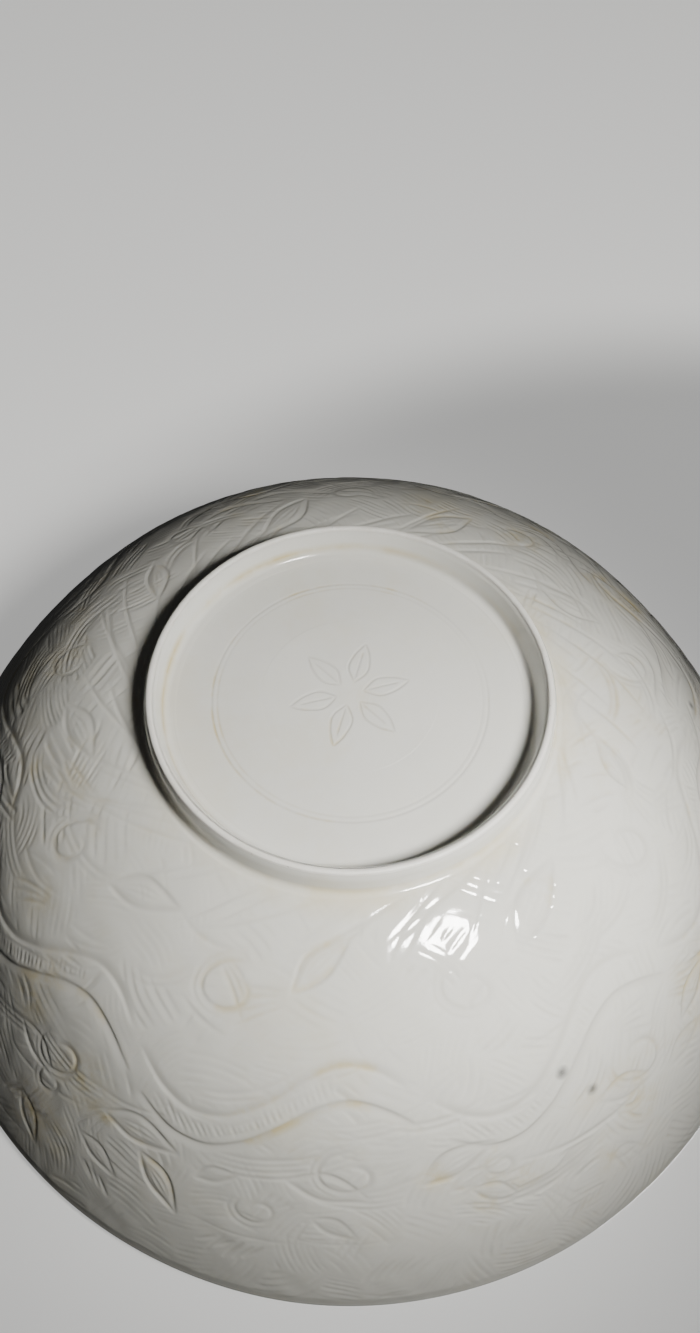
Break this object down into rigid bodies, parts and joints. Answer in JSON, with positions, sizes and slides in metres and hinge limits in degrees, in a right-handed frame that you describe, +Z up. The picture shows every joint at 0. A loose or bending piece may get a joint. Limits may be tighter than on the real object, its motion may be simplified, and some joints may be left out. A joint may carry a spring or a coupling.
{
  "type": "serving bowl",
  "caption": "Round porcelain serving bowl with a flared side, a turned foot ring and clear white glaze over shallow carved ornament outside.",
  "frame": {"origin": "centre of the foot's resting edge, on the plane the bowl stands on", "axes": "+Z up along the bowl's axis, out of the mouth; +X and +Y are any two level directions, since the shape is round"},
  "size_m": [0.23, 0.23, 0.069],
  "materials": {
    "porcelain_body": "bare fired porcelain, fine and dull",
    "outer_glaze": "clear glossy glaze, cool white",
    "inner_glaze": "clear glossy glaze, cool white",
    "base_glaze": "clear glossy glaze, slightly warmer white"
  },
  "bodies": {
    "root": {"bowl_wall": "porcelain_body", "bowl_floor": "porcelain_body", "foot_ring": "porcelain_body", "exterior_glaze": "outer_glaze", "interior_glaze": "inner_glaze", "base_glaze": "base_glaze"}
  },
  "joints": []
}
